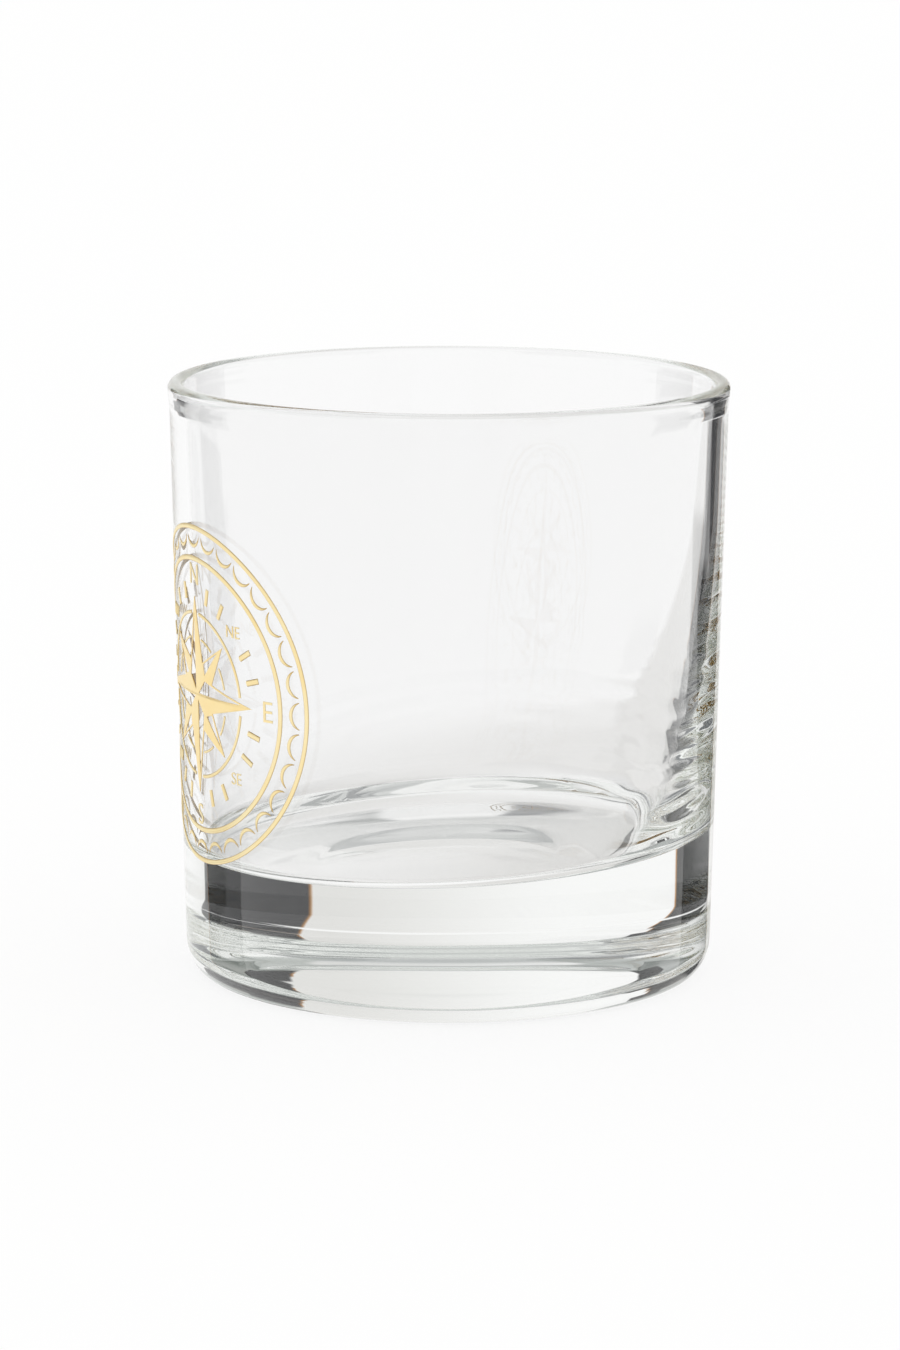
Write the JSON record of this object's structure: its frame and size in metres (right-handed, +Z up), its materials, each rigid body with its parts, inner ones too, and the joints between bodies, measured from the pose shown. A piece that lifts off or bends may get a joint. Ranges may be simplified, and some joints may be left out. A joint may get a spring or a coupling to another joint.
{
  "type": "whisky tumbler",
  "caption": "Tapered whisky tumbler of clear glass with a thick solid base, a rounded lip and a raised gold compass rose on one side of its wall.",
  "frame": {"origin": "centre of the standing plane under the base", "axes": "+Z up the glass's axis, -Y out through the middle of the compass rose"},
  "size_m": [0.0844, 0.0844, 0.09],
  "materials": {
    "glass": "fire polished",
    "gold_print": "fired raised gold, satin"
  },
  "bodies": {
    "root": {"tumbler": "glass", "border_ring": "gold_print", "scallop_01": "gold_print", "scallop_02": "gold_print", "scallop_03": "gold_print", "scallop_04": "gold_print", "scallop_05": "gold_print", "scallop_06": "gold_print", "scallop_07": "gold_print", "scallop_08": "gold_print", "scallop_09": "gold_print", "scallop_10": "gold_print", "scallop_11": "gold_print", "scallop_12": "gold_print", "scallop_13": "gold_print", "scallop_14": "gold_print", "scallop_15": "gold_print", "scallop_16": "gold_print", "scallop_17": "gold_print", "scallop_18": "gold_print", "scallop_19": "gold_print", "scallop_20": "gold_print", "scallop_21": "gold_print", "scallop_22": "gold_print", "scallop_23": "gold_print", "scallop_24": "gold_print", "scallop_25": "gold_print", "scallop_26": "gold_print", "scallop_27": "gold_print", "scallop_28": "gold_print", "scallop_29": "gold_print", "scallop_30": "gold_print", "scallop_31": "gold_print", "scallop_32": "gold_print", "dial_ring": "gold_print", "tick_015": "gold_print", "tick_030": "gold_print", "tick_060": "gold_print", "tick_075": "gold_print", "tick_105": "gold_print", "tick_120": "gold_print", "tick_150": "gold_print", "tick_165": "gold_print", "tick_195": "gold_print", "tick_210": "gold_print", "tick_240": "gold_print", "tick_255": "gold_print", "tick_285": "gold_print", "tick_300": "gold_print", "tick_330": "gold_print", "tick_345": "gold_print", "compass_ring_045": "gold_print", "compass_ring_135": "gold_print", "compass_ring_225": "gold_print", "compass_ring_315": "gold_print", "compass_star": "gold_print"}
  },
  "joints": []
}
